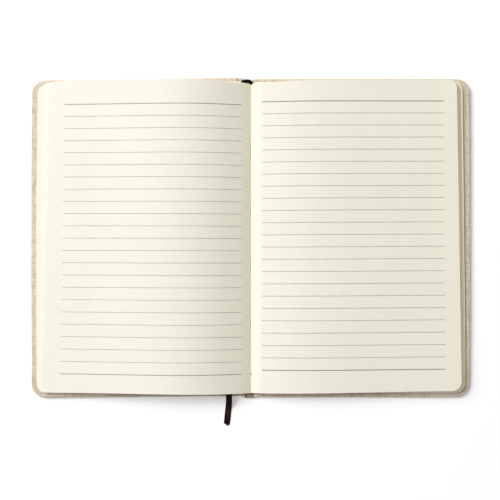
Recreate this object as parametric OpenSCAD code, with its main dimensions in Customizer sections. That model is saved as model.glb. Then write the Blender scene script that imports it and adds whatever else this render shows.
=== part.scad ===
// Open ruled notebook in a cloth case, lying flat on its covers
// Millimetres. X runs across the opening, the front half at -X. Y runs from tail to head. Z is up.
// The origin lies under the middle of the spine, on the surface that the notebook lies on.

/* [Case] */
// Width of a cover board, from the joint to the fore-edge
board_w = 135.35; // [110:0.05:160]
// Height of a cover board, from tail to head
board_h = 209.2; // [180:0.1:250]
// Thickness of a cover board
board_t = 2.2; // [1.6:0.1:3.2]
// Radius of the board corners at the fore-edge
board_corner_r = 9.2; // [3:0.1:16]
// Thickness of the cover cloth
cloth_t = 0.4; // [0.3:0.05:0.6]
// Width of the cloth that is turned in over the board edges
turn_in_w = 15; // [8:1:20]
// Width of the bare cloth joint between a board and the spine strip
joint_w = 6.5; // [5.5:0.1:7.5]
// Turn-in left off on each side of a fold line, so that the cloth can bend
fold_relief = 0.8; // [0.7:0.05:1.2]
// Thickness of the spine strip
strip_t = 0.8; // [0.5:0.05:1]

/* [Endpapers and lining] */
// Thickness of a pasted endpaper
endpaper_t = 0.2; // [0.1:0.05:0.4]
// Cloth left bare between an endpaper and the fore-edge of its board
endpaper_margin = 4; // [2:0.1:8]
// Distance from the joint edge of a board to its endpaper
endpaper_joint_gap = 1; // [0.5:0.1:3]
// Thickness of the lining along the back of the pages
lining_t = 0.4; // [0.2:0.05:0.4]
// Bare strip left on each side of the lining
lining_margin = 0.5; // [0.2:0.1:1]

/* [Pages] */
// Sheets in the whole notebook
sheets = 80; // [60:2:100]
// Thickness of one sheet
sheet_t = 0.09; // [0.07:0.005:0.11]
// Loose sheets on top of each half, which arch up from the block
open_sheets = 12; // [8:1:16]
// Height of a page
page_h = 205; // [176:1:246]
// Radius of the page corners at the fore-edge
page_corner_r = 6; // [2:0.1:12]
// Distance from the cloth edge of a cover to the lowest sheets
page_square = 4; // [3:0.1:8]
// Distance by which the pages sit nearer to the head than to the tail of the case
page_offset = 1.2; // [0:0.1:1.4]
// Distance by which the top sheet stands back behind the lowest, front half
fan_front = 6.2; // [0:0.1:8]
// Distance by which the top sheet stands back behind the lowest, back half
fan_back = 4.7; // [0:0.1:8]
// Steps in the fanned fore-edge of each block
block_steps = 4; // [2:1:6]
// Steps in the fanned fore-edge of the loose sheets on each block
leaf_steps = 3; // [2:1:4]

/* [Arch of the open sheets] */
// Rise of the arched sheets above the flat block, front half
crown_front = 6; // [1:0.1:10]
// Rise of the arched sheets above the flat block, back half
crown_back = 3; // [1:0.1:10]
// Distance from the gutter at which the arch starts
crown_start = 8; // [7.8:0.1:12]
// Distance from the fore-edge of the top sheet at which the arch ends
crown_end_gap = 10; // [4:1:30]
// Skew of the arch towards the gutter, 0 for an even arch
crown_skew = 0.77; // [0:0.01:0.9]
// Height of the fold at the bottom of the gutter
gutter_z = 3.6; // [3:0.1:4]
// Half of the gap between the two halves of the pages in the gutter
gutter_gap = 0.3; // [0.25:0.01:0.4]

/* [Sewing] */
// Diameter of the sewing thread
thread_d = 0.45; // [0.3:0.01:0.48]
// Length of one stitch in the gutter
stitch_len = 32; // [15:1:34]
// Distance from the start of one stitch to the start of the next
stitch_pitch = 38; // [36:1:40]
// Number of stitches
stitch_count = 5; // [3:1:5]

/* [Ribbon] */
// Width of the ribbon marker
ribbon_w = 4.1; // [3:0.1:4.4]
// Thickness of the ribbon marker
ribbon_t = 0.34; // [0.2:0.02:0.36]

/* [Clearances] */
// Running gap between pages and spine over the whole travel of the covers
page_gap = 0.3; // [0.2:0.05:0.5]
// Gap left round the ribbon between the sheets
ribbon_gap = 0.12; // [0.05:0.01:0.15]

/* [Hidden] */
$fn = 64;
eps = 0.01;

cloth_color = [0.86, 0.81, 0.74];
board_color = [0.55, 0.51, 0.46];
paper_color = [0.99, 0.97, 0.91];
lining_color = [0.93, 0.92, 0.88];
thread_color = [0.97, 0.96, 0.92];
ribbon_color = [0.16, 0.04, 0.05];

// Heights of the layers above the table
cover_t = cloth_t + board_t;
block_z = cover_t + endpaper_t;
leaf_z = block_z + (sheets / 2 - open_sheets) * sheet_t;
flat_z = block_z + sheets / 2 * sheet_t;
strip_top_z = cloth_t + strip_t;
spine_top_z = strip_top_z + max(cloth_t, lining_t);
fold_z = spine_top_z + page_gap;

// Fold lines of the cloth, on each side of the middle: closed, the two halves lie face to face
hinge_z = cloth_t;
hinge_x = flat_z - hinge_z;
strip_half_w = hinge_x - joint_w / 2;
board_x = hinge_x + joint_w / 2;
board_end_x = board_x + board_w;
cover_end_x = board_end_x + cloth_t;
block_x = hinge_x + (spine_top_z - hinge_z) + page_gap;
sheet_end_x = cover_end_x - page_square;

turn_in_y = board_h / 2 - turn_in_w;
cover_h = board_h + 2 * cloth_t;

// Head and tail edges of the pages, and the outermost edge that the ribbon falls over at the tail
head_y = page_h / 2 + page_offset;
tail_y = page_h / 2 - page_offset;
fall_y = max(cover_h / 2, tail_y + 2.5);

// Heights of the ribbon where it lies between the sheets and where it lies on the table
ribbon_run_z = leaf_z + 0.28;
ribbon_rest_z = ribbon_t / 2 + 0.03;
// Place of the ribbon across the pages at half their height, and its slant from there to head and tail
ribbon_mid_x = -9.4;
ribbon_slant = 5.1;

// Each point of the three stretches ends with the roll of the ribbon's width about its run, in degrees.
// Glued end and loop at the head: across, beyond the head of the pages, above the spine
ribbon_head = [
    [-1.0, -11, 0.25, 0], [-1.0, -6.5, 0.25, 0], [-1.0, -1.5, 0.25, 0], [-1.05, 0.2, 0.35, 0],
    [-1.3, 1.1, 0.85, 4], [-2.1, 1.5, 1.65, 10], [-3.2, 1.2, 2.45, 16], [-4.15, 0.4, 2.93, 20]
];
// Between the sheets: share of half the height of a page, below the height of the run
ribbon_run = [
    [0.99, 1.03, 20], [0.89, 0.85, 19], [0.77, 0.62, 17], [0.65, 0.4, 16], [0.54, 0.2, 14],
    [0.42, 0.12, 10], [0.3, 0.06, 6], [0.2, 0.03, 3], [0.08, 0, 0], [-0.04, 0, 0],
    [-0.16, 0, 0], [-0.27, 0, 0], [-0.39, 0, 0], [-0.51, 0, 0], [-0.62, 0, 0],
    [-0.74, 0, 0], [-0.86, 0, 0], [-0.965, 0, 0], [-1, 0, 0]
];
// Free end at the tail: across, beyond the edge it falls over, share of the height of the run
ribbon_fall = [
    [-14.55, -2.5, 0.99, 0], [-14.6, -0.5, 0.945, 0], [-14.7, 1.4, 0.815, 0], [-14.8, 3.2, 0.575, 0],
    [-14.9, 4.9, 0.315, 0], [-15.1, 6.7, 0.11, 0], [-15.3, 9, 0.02, 0], [-15.6, 13.5, 0, 0],
    [-15.9, 18.2, 0, 0]
];
ribbon_route = concat(
    [for (p = ribbon_head) [p[0], head_y + p[1], spine_top_z + p[2], p[3]]],
    [for (p = ribbon_run) [
        ribbon_mid_x + ribbon_slant * p[0], page_offset + page_h / 2 * p[0], ribbon_run_z - p[1], p[2]
    ]],
    [for (p = ribbon_fall) [
        p[0], -fall_y - p[1], ribbon_rest_z + (ribbon_run_z - ribbon_rest_z) * p[2], p[3]
    ]]
);
// Points of the route where the ribbon lies between the sheets, one station for each change of slope
ribbon_stations = [8, 12, 16, 26];
// Corners of the ribbon's section, as shares of its width and thickness
ribbon_section = [
    [0.5, 0], [0.42, 0.38], [0, 0.5], [-0.42, 0.38],
    [-0.5, 0], [-0.42, -0.38], [0, -0.5], [0.42, -0.38]
];

// Arch of the top sheet at distance x from the gutter, as a share of its crown
function arch(x, end_x) =
    let (u = (x - crown_start) / (end_x - crown_start))
    u <= 0 || u >= 1 ? 0 : sin(180 * u * (1 + crown_skew * (1 - u)));

// Slope of the top sheet where its arch starts
function start_slope(crown, end_x) =
    crown * PI * (1 + crown_skew) / (end_x - crown_start);

// Height of the top sheet at distance x from the gutter
function page_z(x, crown, end_x) =
    x >= crown_start
        ? flat_z + crown * arch(x, end_x)
        : let (
            d = crown_start - x,
            d0 = crown_start - gutter_gap,
            m = start_slope(crown, end_x),
            c = (flat_z - gutter_z - m * d0) / (d0 * d0)
        ) flat_z - m * d - c * d * d;

// Distances from the gutter at which the surface of the pages is worked out
function page_stations(last_x) = [
    for (x = [gutter_gap : (crown_start - gutter_gap) / 5 : crown_start - eps]) x,
    for (i = [0 : 28]) crown_start + (last_x - crown_start) * i / 28
];

// Plain cover shape from the middle outwards, with two round corners at the fore-edge
module half_outline(x0, x1, h, r) {
    translate([x0, -h / 2])
        square([x1 - r - x0, h]);
    translate([x0, r - h / 2])
        square([x1 - x0, h - 2 * r]);
    for (side = [-1, 1])
        translate([x1 - r, side * (h / 2 - r)])
            circle(r = r);
}

module plate(z0, z1, x0, x1, h, r) {
    translate([0, 0, z0])
        linear_extrude(z1 - z0)
            half_outline(x0, x1, h, r);
}

// Plate of the height and place of the pages
module page_plate(z0, z1, x0, x1) {
    translate([0, page_offset, 0])
        plate(z0, z1, x0, x1, page_h, page_corner_r);
}

// Box at the head and again at the tail, between two heights and two distances along Y
module at_both_ends(x0, x1, y0, y1, z0, z1) {
    for (side = [-1, 1])
        translate([x0, side > 0 ? y0 : -y1, z0])
            cube([x1 - x0, y1 - y0, z1 - z0]);
}

// Board with its three turned-in edges pressed down by the cloth
module board() {
    color(board_color)
        union() {
            plate(cloth_t, cover_t - cloth_t, board_x, board_end_x, board_h, board_corner_r);
            translate([board_x, -turn_in_y, cloth_t])
                cube([board_w - turn_in_w, 2 * turn_in_y, board_t]);
        }
}

// Cloth of one cover: outside, wrapped edges, turn-ins, and half of the joint
module cover_cloth() {
    color(cloth_color)
        union() {
            difference() {
                plate(0, cover_t, board_x, cover_end_x, cover_h, board_corner_r + cloth_t);
                plate(cloth_t, cover_t - cloth_t, board_x - eps, board_end_x, board_h, board_corner_r);
                translate([board_x - eps, -turn_in_y, cover_t - cloth_t - eps])
                    cube([board_w - turn_in_w + eps, 2 * turn_in_y, cloth_t + 2 * eps]);
            }
            translate([hinge_x, -cover_h / 2, 0])
                cube([board_x - hinge_x, cover_h, cloth_t]);
            at_both_ends(hinge_x + fold_relief, board_x, turn_in_y, cover_h / 2, cloth_t, 2 * cloth_t);
            at_both_ends(board_x - cloth_t, board_x, turn_in_y, cover_h / 2, cloth_t, cover_t);
        }
}

module endpaper() {
    color(paper_color)
        page_plate(cover_t, block_z, board_x + endpaper_joint_gap, board_end_x - endpaper_margin);
}

// Distance from the gutter to the fore-edge of one step, the lowest first
function step_end_x(i, fan) = sheet_end_x - fan * i / (block_steps + leaf_steps - 1);

// Lower sheets of one half, pressed flat, with a fanned fore-edge
module page_block(fan) {
    step_z = (leaf_z - block_z) / block_steps;
    color(paper_color)
        union()
            for (i = [0 : block_steps - 1])
                page_plate(
                    block_z + i * step_z, block_z + (i + 1) * step_z,
                    block_x, step_end_x(i, fan)
                );
}

// Solid below one loose sheet: it arches over the block and runs down into the gutter
module leaf_step(i, crown, fan) {
    share = (i + 1) / leaf_steps;
    last_x = step_end_x(block_steps + i, fan);
    top_x = step_end_x(block_steps + leaf_steps - 1, fan);
    drop = (1 - share) * (flat_z - leaf_z);
    xs = page_stations(last_x);
    top = [for (x = xs) [x, leaf_z + (page_z(x, share * crown, top_x - crown_end_gap) - leaf_z) - drop]];
    under = [[last_x, leaf_z], [block_x, leaf_z], [block_x, fold_z], [gutter_gap, fold_z]];
    intersection() {
        rotate([90, 0, 0])
            linear_extrude(page_h + 2 * page_offset + 2, center = true)
                polygon(concat(top, under));
        page_plate(0, flat_z + crown + 1, 0, last_x);
    }
}

module open_leaves(crown, fan) {
    union()
        for (i = [0 : leaf_steps - 1])
            leaf_step(i, crown, fan);
}

// Pocket under the folds at the head, where the glued end of the ribbon lies
module ribbon_pocket() {
    first = ribbon_route[0];
    x0 = first[0] - ribbon_w / 2 - ribbon_gap;
    y0 = first[1] - 1.5;
    top_z = first[2] + ribbon_t + 2 * ribbon_gap;
    translate([x0, y0, 0])
        cube([ribbon_w + 2 * ribbon_gap, head_y - y0 + 1, top_z]);
}

// Short stretch of the gap left for the ribbon, round one point of its route
module ribbon_slab(p, beyond) {
    w = ribbon_w + 2 * ribbon_gap;
    t = ribbon_t + 2 * ribbon_gap;
    translate([p[0], p[1] + beyond, p[2]])
        rotate([0, p[3], 0])
            cube([w, 3, t], center = true);
}

// Gap between the sheets in which the ribbon lies, from the head to the tail
module ribbon_slot() {
    last = len(ribbon_stations) - 1;
    hull()
        for (i = [0 : last])
            ribbon_slab(ribbon_route[ribbon_stations[i]], i == 0 ? 2 : i == last ? -2 : 0);
}

module back_board() {
    board();
}

module back_cloth() {
    cover_cloth();
}

module back_endpaper() {
    endpaper();
}

module back_page_block() {
    page_block(fan_back);
}

module back_open_leaves() {
    color(paper_color)
        difference() {
            open_leaves(crown_back, fan_back);
            ribbon_pocket();
        }
}

module front_board() {
    mirror([1, 0, 0])
        board();
}

module front_cloth() {
    mirror([1, 0, 0])
        cover_cloth();
}

module front_endpaper() {
    mirror([1, 0, 0])
        endpaper();
}

module front_page_block() {
    mirror([1, 0, 0])
        page_block(fan_front);
}

module front_open_leaves() {
    color(paper_color)
        difference() {
            mirror([1, 0, 0])
                open_leaves(crown_front, fan_front);
            ribbon_pocket();
            ribbon_slot();
        }
}

module spine_strip() {
    color(board_color)
        translate([-strip_half_w, -board_h / 2, cloth_t])
            cube([2 * strip_half_w, board_h, strip_t]);
}

// Cloth of the spine between the two fold lines, turned in over the strip at head and tail
module spine_cloth() {
    turned_x = hinge_x - fold_relief;
    over_x = strip_half_w + cloth_t;
    color(cloth_color)
        union() {
            translate([-hinge_x, -cover_h / 2, 0])
                cube([2 * hinge_x, cover_h, cloth_t]);
            at_both_ends(-turned_x, turned_x, board_h / 2, cover_h / 2, cloth_t, 2 * cloth_t);
            at_both_ends(-over_x, over_x, board_h / 2, cover_h / 2, cloth_t, strip_top_z + cloth_t);
            at_both_ends(-over_x, over_x, turn_in_y, cover_h / 2, strip_top_z, strip_top_z + cloth_t);
            for (side = [0, 1])
                mirror([side, 0, 0]) {
                    at_both_ends(strip_half_w, turned_x, turn_in_y, board_h / 2, cloth_t, 2 * cloth_t);
                    at_both_ends(strip_half_w, over_x, turn_in_y, board_h / 2, cloth_t, strip_top_z);
                }
        }
}

module spine_lining() {
    half_w = strip_half_w - lining_margin;
    half_h = turn_in_y - lining_margin;
    color(lining_color)
        translate([-half_w, -half_h, strip_top_z])
            cube([2 * half_w, 2 * half_h, lining_t]);
}

// Stitches along the gutter, each with its two ends going down through the fold to the lining
module sewing_thread() {
    thread_z = gutter_z + thread_d;
    foot_z = strip_top_z + lining_t + 0.05;
    first_y = -((stitch_count - 1) * stitch_pitch + stitch_len) / 2;
    color(thread_color)
        for (i = [0 : stitch_count - 1])
            translate([0, first_y + i * stitch_pitch, 0])
                union() {
                    translate([0, 0, thread_z])
                        rotate([-90, 0, 0])
                            cylinder(d = thread_d, h = stitch_len, $fn = 16);
                    for (y = [0, stitch_len])
                        translate([0, y, foot_z])
                            cylinder(d = thread_d, h = thread_z - foot_z, $fn = 16);
                }
}

function unit(v) = v / norm(v);
function place(p) = [p[0], p[1], p[2]];

// Direction of the route at point i
function run_at(i) =
    unit(place(ribbon_route[min(i + 1, len(ribbon_route) - 1)]) - place(ribbon_route[max(i - 1, 0)]));

// Direction of the ribbon's width at point i, square to its run
function width_at(i) =
    let (
        roll = ribbon_route[i][3],
        w = [-cos(roll), 0, sin(roll)],
        t = run_at(i)
    ) unit(w - (w * t) * t);

function ribbon_ring(i) =
    let (s = width_at(i), n = cross(s, run_at(i)))
    [for (q = ribbon_section) place(ribbon_route[i]) + ribbon_w * q[0] * s + ribbon_t * q[1] * n];

module ribbon_marker() {
    rings = len(ribbon_route);
    k = len(ribbon_section);
    points = [for (i = [0 : rings - 1]) each ribbon_ring(i)];
    sides = [
        for (i = [0 : rings - 2], j = [0 : k - 1])
            each [
                [i * k + j, i * k + (j + 1) % k, (i + 1) * k + j],
                [i * k + (j + 1) % k, (i + 1) * k + (j + 1) % k, (i + 1) * k + j]
            ]
    ];
    first_cap = [for (j = [0 : k - 1]) k - 1 - j];
    last_cap = [for (j = [0 : k - 1]) (rings - 1) * k + j];
    color(ribbon_color)
        polyhedron(points, concat(sides, [first_cap, last_cap]), convexity = 6);
}

back_board();
back_cloth();
back_endpaper();
back_page_block();
back_open_leaves();
front_board();
front_cloth();
front_endpaper();
front_page_block();
front_open_leaves();
spine_strip();
spine_cloth();
spine_lining();
sewing_thread();
ribbon_marker();
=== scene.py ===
"""Open ruled notebook in a linen case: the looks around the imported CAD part."""
import math

import bpy
import numpy as np
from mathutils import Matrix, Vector


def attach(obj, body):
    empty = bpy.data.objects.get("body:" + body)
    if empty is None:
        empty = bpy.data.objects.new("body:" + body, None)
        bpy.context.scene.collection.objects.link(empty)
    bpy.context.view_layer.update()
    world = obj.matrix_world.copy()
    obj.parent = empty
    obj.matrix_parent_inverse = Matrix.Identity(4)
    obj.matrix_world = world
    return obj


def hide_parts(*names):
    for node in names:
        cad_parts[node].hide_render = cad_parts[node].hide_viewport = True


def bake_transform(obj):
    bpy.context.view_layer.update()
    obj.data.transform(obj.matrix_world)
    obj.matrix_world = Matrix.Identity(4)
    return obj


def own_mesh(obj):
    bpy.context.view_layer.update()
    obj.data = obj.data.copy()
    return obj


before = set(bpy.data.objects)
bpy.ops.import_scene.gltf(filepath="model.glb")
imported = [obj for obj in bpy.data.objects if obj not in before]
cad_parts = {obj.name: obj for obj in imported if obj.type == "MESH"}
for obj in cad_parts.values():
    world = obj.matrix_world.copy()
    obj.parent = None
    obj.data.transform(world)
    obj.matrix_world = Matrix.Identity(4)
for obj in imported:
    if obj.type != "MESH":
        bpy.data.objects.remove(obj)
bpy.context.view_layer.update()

MM = 0.001

FRONT, BACK = -1, 1
SIDE = {FRONT: "front", BACK: "back"}
BODY = {FRONT: "front_cover", BACK: "back_cover"}
HINGE = {FRONT: "front_cover_hinge", BACK: "spine_hinge"}

# Sizes of the case in mm; along X they count from the middle of the spine
COVER_T = 2.6
CLOTH_T = 0.4
COVER_END = 145.0
COVER_H = 210.0
COVER_R = 9.6
TURN_IN = 15.0
BOARD_CORE = dict(x0=9.5, x1=144.4, half=104.5, radius=9.0, z0=0.45, z1=2.35)

# Sizes of the pages in mm. Each half has SHEETS sheets, and the top OPEN of them lie loose. The
# folds rise from FOLD_Z to GUTTER_Z, GUTTER_GAP from the middle. The arches start at START, and SKEW
# makes them steeper at the gutter than at the fore-edge.
SHEETS = 40
OPEN = 12
SHEET_T = 0.09
PAPER_T, TOP_PAPER_T = SHEET_T * 0.8, SHEET_T * 0.9
BLOCK_Z = 2.8
LEAF_Z = BLOCK_Z + (SHEETS - OPEN) * SHEET_T
FOLD_Z = 1.9
GUTTER_Z = 3.6
GUTTER_GAP = 0.12
START = 8.0
SKEW = 0.77
PAGE_R = 6.0
PAGE_H = 205.0
PAGE_Y = 1.2
PASTED = dict(x0=10.4, x1=141.6, half=PAGE_H / 2, z0=2.55, z1=2.78)
PASTED_R = {FRONT: 9.0, BACK: PAGE_R}
# Corners of the left sheets at the head: cut flatter than the others, (along X, along Y)
WORN_CORNER = (12.4, 7.6)

# How the loose sheets lie, in mm: height of the arch and where it ends, share of the height lost
# towards the fore-edge, and lift of the fore-edge
CROWN = {FRONT: 6.0, BACK: 3.0}
ARCH_END = {FRONT: 124.8, BACK: 126.3}
DROOP = {FRONT: 0.32, BACK: 0.04}
DROOP_FROM, DROOP_SPAN = 108.0, 28.0
LIFT = {FRONT: 0.0, BACK: 0.45}
# Fore-edge of the top sheet: its place and its growth along Y. The lowest FLUSH right sheets are
# flush, and the others fan out by FAN
TOP_EDGE = {FRONT: (135.2, -0.0245), BACK: (136.72, -0.0157)}
FLUSH, FAN = 9, 3.0
# Page centre along Y at the gutter, how much a sheet's fore-edge stands nearer to the head and how
# much shorter it is in the picture, both over the length SPAN
CENTRE_Y = {FRONT: 0.75, BACK: 0.45}
TILT = {FRONT: 0.9, BACK: 1.9}
SHORTER = {FRONT: 0.2, BACK: 1.2}
SPAN = 128.0
# Tail edges of the sheets: shift towards the head by the distance from the gutter
TAIL = {FRONT: ((0, 20, 60, 95, 130), (-0.2, -0.2, 0.0, -0.2, -0.5)),
        BACK: ((0, 30, 60, 112, 137), (0.35, 0.2, 0.0, -0.3, -0.3))}
# Heads of the upper sheets: how far they draw back in the gutter, how far out that reaches, and
# from which sheet on it grows over how many
HEAD_DIP, DIP_REACH = 1.85, 36
DIP_SHEET, DIP_SHEETS = 24, 15
# Waves of the loose sheets: height, growth of the angle along Y and X, its part by side and its start
WAVES = ((0.10, 0.043, 0.019, 1.1, 0), (0.05, 0.083, -0.031, 0, 0.7), (0.05, 0.012, 0.061, 1, 0))
# How far the inner edges of the top sheets close the slit towards the head and the tail
SLIT_CLOSE = 0.07
# Share of the deep paper tint, which is painted shade: towards the gutter, more towards the fold
# within its reach, and towards the right fore-edge
TINT = {FRONT: 0.38, BACK: 0.06}
FOLD_TINT = 0.45
FOLD_REACH = {FRONT: 9, BACK: 6}
OUTER_TINT = 0.3
# Outer part of the lower right sheets that is drawn darker and browner, as painted shade
DARK_EDGE = 3.0
# Columns and rows of a sheet past the seam, and of its part between the seam and the fold
PRESSED_GRID, LOOSE_GRID, TOP_GRID = (6, 7), (34, 9), (84, 61)
FOLD_GRID, TOP_FOLD_GRID = (10, 9), (22, 17)


def smooth(t):
    """0 to 1 in an even curve as t goes from 0 to 1."""
    t = np.clip(t, 0.0, 1.0)
    return t * t * (3 - 2 * t)


# Mesh helpers
def make(name, verts, faces, mats, attrs=None, angle=35, face_mats=None):
    """Object from points in mm. attrs are point attributes by name, one value or vector a point."""
    me = bpy.data.meshes.new(name)
    v = np.asarray(verts, float).reshape(-1, 3) * MM
    me.from_pydata([tuple(p) for p in v], [], faces)
    for m in mats:
        me.materials.append(m)
    if face_mats is not None:
        me.polygons.foreach_set("material_index", face_mats)
    me.polygons.foreach_set("use_smooth", [True] * len(me.polygons))
    for key, values in (attrs or {}).items():
        values = np.asarray(values, np.float32)
        if values.ndim == 2:
            a = me.attributes.new(key, "FLOAT_VECTOR", "POINT")
            a.data.foreach_set("vector", values.ravel())
        else:
            a = me.attributes.new(key, "FLOAT", "POINT")
            a.data.foreach_set("value", values)
    me.validate()
    me.set_sharp_from_angle(angle=math.radians(angle))
    me.update()
    o = bpy.data.objects.new(name, me)
    bpy.context.scene.collection.objects.link(o)
    return o


class Build:
    """Collects grids into one mesh: points with tint and shade, and faces with their material."""

    def __init__(self, flip):
        self.v, self.f, self.tint, self.kind, self.shade = [], [], [], [], []
        self.flip = flip

    def add_face(self, *idx, kind=0):
        self.f.append(tuple(reversed(idx)) if self.flip else tuple(idx))
        self.kind.append(kind)

    def grid(self, top, bottom, tint, close=(True, True, True, True), shade=None):
        """Closed slab between two grids of points [a, b, 3]; close says which of its rims
        (a first, a last, b first, b last) get a wall."""
        base = len(self.v)
        na, nb = top.shape[:2]
        self.v.extend(top.reshape(-1, 3).tolist())
        self.v.extend(bottom.reshape(-1, 3).tolist())
        self.tint.extend(tint.ravel().tolist() * 2)
        shade = np.zeros((na, nb)) if shade is None else shade
        self.shade.extend(shade.ravel().tolist() * 2)

        def t(a, b):
            return base + a * nb + b

        def u(a, b):
            return base + na * nb + a * nb + b

        for a in range(na - 1):
            for b in range(nb - 1):
                self.add_face(t(a, b), t(a + 1, b), t(a + 1, b + 1), t(a, b + 1))
                self.add_face(u(a, b), u(a, b + 1), u(a + 1, b + 1), u(a + 1, b))
        for b in range(nb - 1):
            if close[0]:
                self.add_face(t(0, b), t(0, b + 1), u(0, b + 1), u(0, b), kind=1)
            if close[1]:
                self.add_face(t(na - 1, b), u(na - 1, b), u(na - 1, b + 1), t(na - 1, b + 1), kind=1)
        for a in range(na - 1):
            if close[2]:
                self.add_face(t(a, 0), u(a, 0), u(a + 1, 0), t(a + 1, 0), kind=1)
            if close[3]:
                self.add_face(t(a, nb - 1), t(a + 1, nb - 1), u(a + 1, nb - 1), u(a, nb - 1), kind=1)


# Materials
class Nodes:
    """Material with a node tree, and short ways to add nodes to it."""

    def __init__(self, name):
        self.mat = bpy.data.materials.new(name)
        self.mat.use_nodes = True
        self.t = self.mat.node_tree
        self.t.nodes.clear()
        self.out = self.t.nodes.new("ShaderNodeOutputMaterial")
        self.bsdf = self.t.nodes.new("ShaderNodeBsdfPrincipled")
        self.link(self.bsdf.outputs[0], self.out.inputs["Surface"])

    def link(self, a, b):
        self.t.links.new(a, b)

    def node(self, kind, inputs=None, **props):
        n = self.t.nodes.new(kind)
        for k, v in props.items():
            setattr(n, k, v)
        for k, v in (inputs or {}).items():
            s = n.inputs[k]
            if isinstance(v, bpy.types.NodeSocket):
                self.link(v, s)
            else:
                s.default_value = v
        return n

    def math(self, op, a, b=0.0, clamp=False):
        n = self.t.nodes.new("ShaderNodeMath")
        n.operation = op
        n.use_clamp = clamp
        for s, v in zip(n.inputs, (a, b)):
            if isinstance(v, bpy.types.NodeSocket):
                self.link(v, s)
            else:
                s.default_value = v
        return n.outputs[0]

    def mix(self, fac, a, b, blend="MIX"):
        n = self.t.nodes.new("ShaderNodeMix")
        n.data_type = "RGBA"
        n.blend_type = blend
        for s, v in ((n.inputs[0], fac), (n.inputs[6], a), (n.inputs[7], b)):
            if isinstance(v, bpy.types.NodeSocket):
                self.link(v, s)
            elif isinstance(v, (int, float)):
                s.default_value = v
            else:
                s.default_value = (*v, 1.0)
        return n.outputs[2]

    def noise(self, vector, scale, detail=2.0, rough=0.5):
        n = self.node("ShaderNodeTexNoise", {"Scale": scale, "Detail": detail, "Roughness": rough})
        self.link(vector, n.inputs["Vector"])
        return n.outputs["Fac"]

    def ramp(self, fac, stops):
        n = self.t.nodes.new("ShaderNodeValToRGB")
        e = n.color_ramp.elements
        while len(e) < len(stops):
            e.new(0.5)
        for el, (p, c) in zip(e, stops):
            el.position = p
            el.color = (*c, 1.0) if not isinstance(c, (int, float)) else (c, c, c, 1.0)
        self.link(fac, n.inputs[0])
        return n.outputs[0]

    def stretch(self, vector, sx, sy, sz):
        n = self.node("ShaderNodeMapping")
        n.inputs["Scale"].default_value = (sx, sy, sz)
        self.link(vector, n.inputs["Vector"])
        return n.outputs[0]

    def attr(self, name, out="Vector"):
        n = self.node("ShaderNodeAttribute", attribute_name=name)
        n.attribute_type = "GEOMETRY"
        return n.outputs[out]

    def object_co(self):
        return self.node("ShaderNodeTexCoord").outputs["Object"]

    def bump(self, height, strength, distance):
        n = self.node("ShaderNodeBump", {"Strength": strength, "Distance": distance})
        self.link(height, n.inputs["Height"])
        self.link(n.outputs[0], self.bsdf.inputs["Normal"])

    def surface(self, **kw):
        names = {"rough": "Roughness", "spec": "Specular IOR Level", "sheen": "Sheen Weight",
                 "sheen_rough": "Sheen Roughness", "aniso": "Anisotropic"}
        for k, v in kw.items():
            self.bsdf.inputs[names[k]].default_value = v

    def colour(self, socket):
        self.link(socket, self.bsdf.inputs["Base Color"])


# Pitch of the weave and how far a yarn wanders from its line, in mm
WEAVE_PITCH, YARN_WANDER = 0.68, 0.9
# Pitch of the ribbon's ribs along its run and of its picks across, in mm
RIB_PITCH, PICK_PITCH = 0.36, 0.5
# One turn of the thread and one mesh of the gauze, in m
TWIST_PITCH, GAUZE_PITCH = 0.0007, 0.0009


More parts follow.
